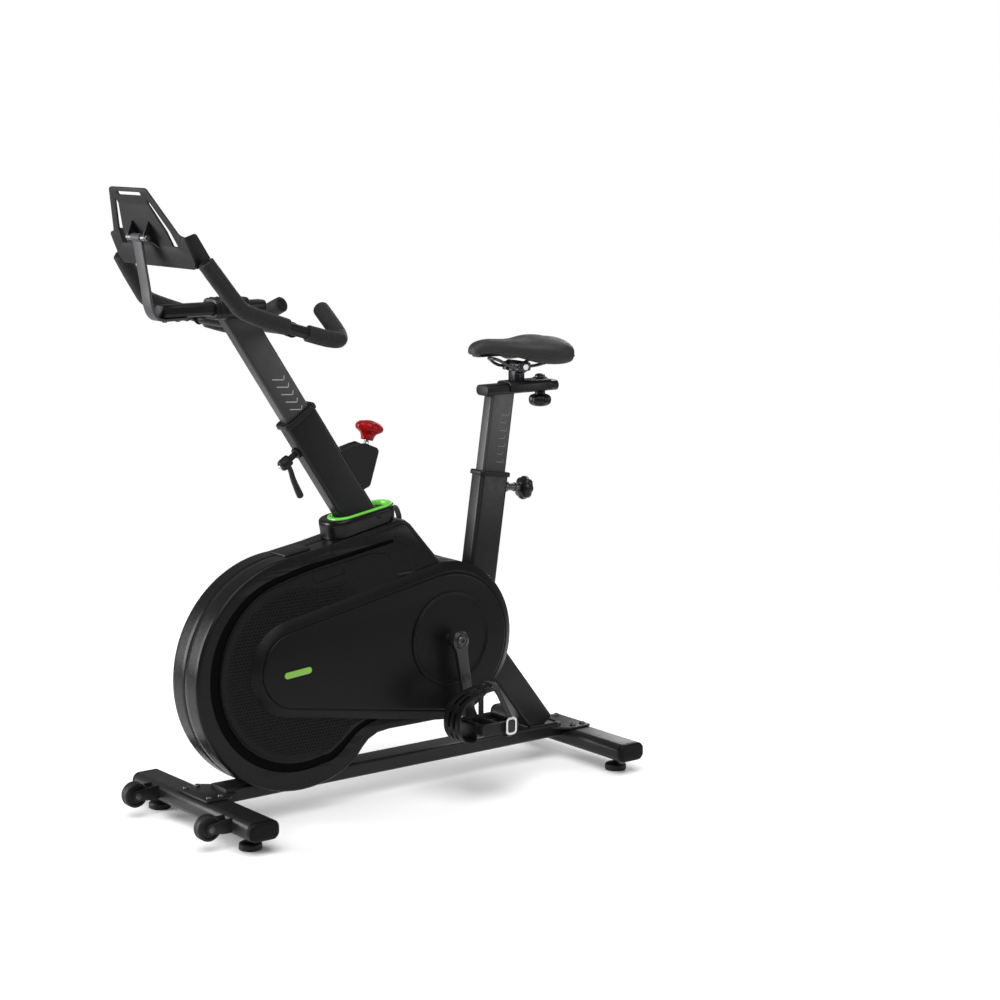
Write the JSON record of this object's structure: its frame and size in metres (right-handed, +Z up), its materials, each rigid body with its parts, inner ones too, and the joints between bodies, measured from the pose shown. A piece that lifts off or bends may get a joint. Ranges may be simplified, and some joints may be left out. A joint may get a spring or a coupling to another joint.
{
  "type": "indoor spin bike",
  "caption": "Belt-driven indoor spin bike with an enclosed flywheel, sliding seat and handlebar posts, a tablet tray and levelling feet.",
  "frame": {"origin": "middle of the floor footprint: halfway along the length, on the mid-plane, at floor level", "axes": "+Z up, -X towards the front of the bike, -Y the rider's left side, +X towards the saddle end"},
  "size_m": [1.0738, 0.4526, 1.2396],
  "materials": {
    "frame_paint": "satin black powder coat",
    "casing_plastic": "semi-gloss black moulded shell",
    "panel_plastic": "fine-grained matte black panel",
    "cover_plastic": "satin dark grey drive cover",
    "trim_plastic": "matte black moulding",
    "knob_plastic": "smooth black knob",
    "red_plastic": "gloss red knob",
    "green_trim": "bright green trim ring",
    "light_lens": "translucent green light window",
    "grip_foam": "closed-cell foam grip",
    "tyre_rubber": "soft black rubber",
    "belt_rubber": "ribbed belt rubber",
    "saddle_cover": "stitched synthetic leather",
    "bright_steel": "zinc plated steel",
    "crank_steel": "black painted forged crank",
    "flywheel_iron": "turned cast iron",
    "pulley_alloy": "cast aluminium pulley",
    "brake_felt": "felt brake pad on a steel arm"
  },
  "bodies": {
    "frame": {"main_frame": "frame_paint", "front_stabiliser": "frame_paint", "rear_stabiliser": "frame_paint", "front_left_cap": "trim_plastic", "front_right_cap": "trim_plastic", "rear_left_cap": "trim_plastic", "rear_right_cap": "trim_plastic", "left_casing": "casing_plastic", "right_casing": "casing_plastic", "left_side_panel": "panel_plastic", "right_side_panel": "panel_plastic", "left_drive_cover": "cover_plastic", "right_drive_cover": "cover_plastic", "light_lens": "light_lens", "tower_collar": "trim_plastic", "trim_ring": "green_trim", "access_hatch": "trim_plastic", "head_guide": "trim_plastic", "seat_guide": "trim_plastic", "left_bearing": "bright_steel", "right_bearing": "bright_steel", "flywheel_axle": "bright_steel", "drive_belt": "belt_rubber", "knob_bracket": "frame_paint"},
    "crank": {"crank_spindle": "bright_steel", "drive_pulley": "pulley_alloy", "left_crank": "crank_steel", "right_crank": "crank_steel", "left_pedal_spindle": "bright_steel", "right_pedal_spindle": "bright_steel"},
    "left_pedal_unit": {"left_pedal": "trim_plastic", "left_toe_cage": "trim_plastic"},
    "right_pedal_unit": {"right_pedal": "trim_plastic", "right_toe_cage": "trim_plastic"},
    "flywheel_unit": {"flywheel": "flywheel_iron", "flywheel_pulley": "pulley_alloy"},
    "brake": {"brake_arm": "brake_felt"},
    "left_wheel_unit": {"left_wheel": "tyre_rubber"},
    "right_wheel_unit": {"right_wheel": "tyre_rubber"},
    "front_left_foot_unit": {"front_left_foot": "trim_plastic"},
    "front_right_foot_unit": {"front_right_foot": "trim_plastic"},
    "rear_left_foot_unit": {"rear_left_foot": "trim_plastic"},
    "rear_right_foot_unit": {"rear_right_foot": "trim_plastic"},
    "bar_post": {"handlebar_post": "frame_paint"},
    "bars": {"handlebar": "frame_paint", "left_front_grip": "grip_foam", "right_front_grip": "grip_foam", "left_rear_grip": "grip_foam", "right_rear_grip": "grip_foam", "tray_arm": "frame_paint"},
    "tray_unit": {"tray": "trim_plastic"},
    "saddle_post": {"seat_post": "frame_paint"},
    "carriage": {"seat_carriage": "frame_paint"},
    "saddle_unit": {"saddle": "saddle_cover", "saddle_rails": "bright_steel"},
    "slider_knob": {"seat_slider_knob": "knob_plastic"},
    "pin_knob": {"seat_pin_knob": "knob_plastic"},
    "lever": {"clamp_lever": "bright_steel"},
    "stem": {"knob_stem": "bright_steel"},
    "knob": {"resistance_knob": "red_plastic"}
  },
  "joints": [
    {"name": "crank_spin", "type": "hinge", "parent": "frame", "child": "crank", "pos_m": [0.14886, 0, 0.314], "axis": [0, -1, 0], "continuous": true},
    {"name": "flywheel_spin", "type": "hinge", "parent": "frame", "child": "flywheel_unit", "pos_m": [-0.20713, 0, 0.29], "axis": [0, -1, 0], "continuous": true},
    {"name": "left_pedal_spin", "type": "hinge", "parent": "crank", "child": "left_pedal_unit", "pos_m": [0.17547, -0.156, 0.1461], "axis": [0, -1, 0], "continuous": true},
    {"name": "right_pedal_spin", "type": "hinge", "parent": "crank", "child": "right_pedal_unit", "pos_m": [0.12226, 0.156, 0.4819], "axis": [0, -1, 0], "continuous": true},
    {"name": "seat_height", "type": "slide", "parent": "frame", "child": "saddle_post", "axis": [0.1478, 0, 0.989], "range_m": [-0.13, 0.07]},
    {"name": "seat_fore_aft", "type": "slide", "parent": "saddle_post", "child": "carriage", "axis": [1, 0, 0], "range_m": [-0.055, 0.02]},
    {"name": "saddle_tilt", "type": "hinge", "parent": "carriage", "child": "saddle_unit", "pos_m": [0.36986, 0, 0.851], "axis": [0, 1, 0], "range_deg": [-8, 8]},
    {"name": "seat_slider_knob_turn", "type": "hinge", "parent": "carriage", "child": "slider_knob", "pos_m": [0.43286, 0, 0.806], "axis": [0, 0, 1], "range_deg": [0, 720]},
    {"name": "seat_pin_pull", "type": "slide", "parent": "frame", "child": "pin_knob", "axis": [0.989, 0, -0.1478], "range_m": [0, 0.012], "stiffness_N_per_m": 800, "springref_m": -0.004},
    {"name": "handlebar_height", "type": "slide", "parent": "frame", "child": "bar_post", "axis": [-0.5519, 0, 0.8339], "range_m": [-0.15, 0.05]},
    {"name": "handlebar_fore_aft", "type": "slide", "parent": "bar_post", "child": "bars", "axis": [1, 0, 0], "range_m": [0, 0.05]},
    {"name": "tray_tilt", "type": "hinge", "parent": "bars", "child": "tray_unit", "pos_m": [-0.51514, 0, 1.147], "axis": [0, 1, 0], "range_deg": [-20, 20]},
    {"name": "clamp_lever_turn", "type": "hinge", "parent": "frame", "child": "lever", "pos_m": [-0.17394, 0, 0.7173], "axis": [-0.8339, 0, -0.5519], "range_deg": [-90, 90]},
    {"name": "knob_press", "type": "slide", "parent": "frame", "child": "stem", "axis": [-0.2504, 0, -0.9681], "range_m": [0, 0.006], "stiffness_N_per_m": 1500, "springref_m": -0.003},
    {"name": "resistance_turn", "type": "hinge", "parent": "stem", "child": "knob", "pos_m": [-0.01214, 0, 0.716], "axis": [0.2504, 0, 0.9681], "range_deg": [0, 1080]},
    {"name": "brake_swing", "type": "hinge", "parent": "frame", "child": "brake", "pos_m": [-0.10914, 0, 0.47], "axis": [0, 1, 0], "range_deg": [0, 2.5]},
    {"name": "left_wheel_spin", "type": "hinge", "parent": "frame", "child": "left_wheel_unit", "pos_m": [-0.47513, -0.139, 0.047], "axis": [0, -1, 0], "continuous": true},
    {"name": "right_wheel_spin", "type": "hinge", "parent": "frame", "child": "right_wheel_unit", "pos_m": [-0.47513, 0.139, 0.047], "axis": [0, -1, 0], "continuous": true},
    {"name": "front_left_foot_turn", "type": "hinge", "parent": "frame", "child": "front_left_foot_unit", "pos_m": [-0.40114, -0.171, 0], "axis": [0, 0, 1], "range_deg": [0, 720]},
    {"name": "front_right_foot_turn", "type": "hinge", "parent": "frame", "child": "front_right_foot_unit", "pos_m": [-0.40114, 0.171, 0], "axis": [0, 0, 1], "range_deg": [0, 720]},
    {"name": "rear_left_foot_turn", "type": "hinge", "parent": "frame", "child": "rear_left_foot_unit", "pos_m": [0.50387, -0.171, 0], "axis": [0, 0, 1], "range_deg": [0, 720]},
    {"name": "rear_right_foot_turn", "type": "hinge", "parent": "frame", "child": "rear_right_foot_unit", "pos_m": [0.50387, 0.171, 0], "axis": [0, 0, 1], "range_deg": [0, 720]}
  ],
  "couplings": [
    {"joint": "flywheel_spin", "follows": "crank_spin", "ratio": 4},
    {"joint": "brake_swing", "follows": "resistance_turn", "ratio": 0.0023148}
  ]
}
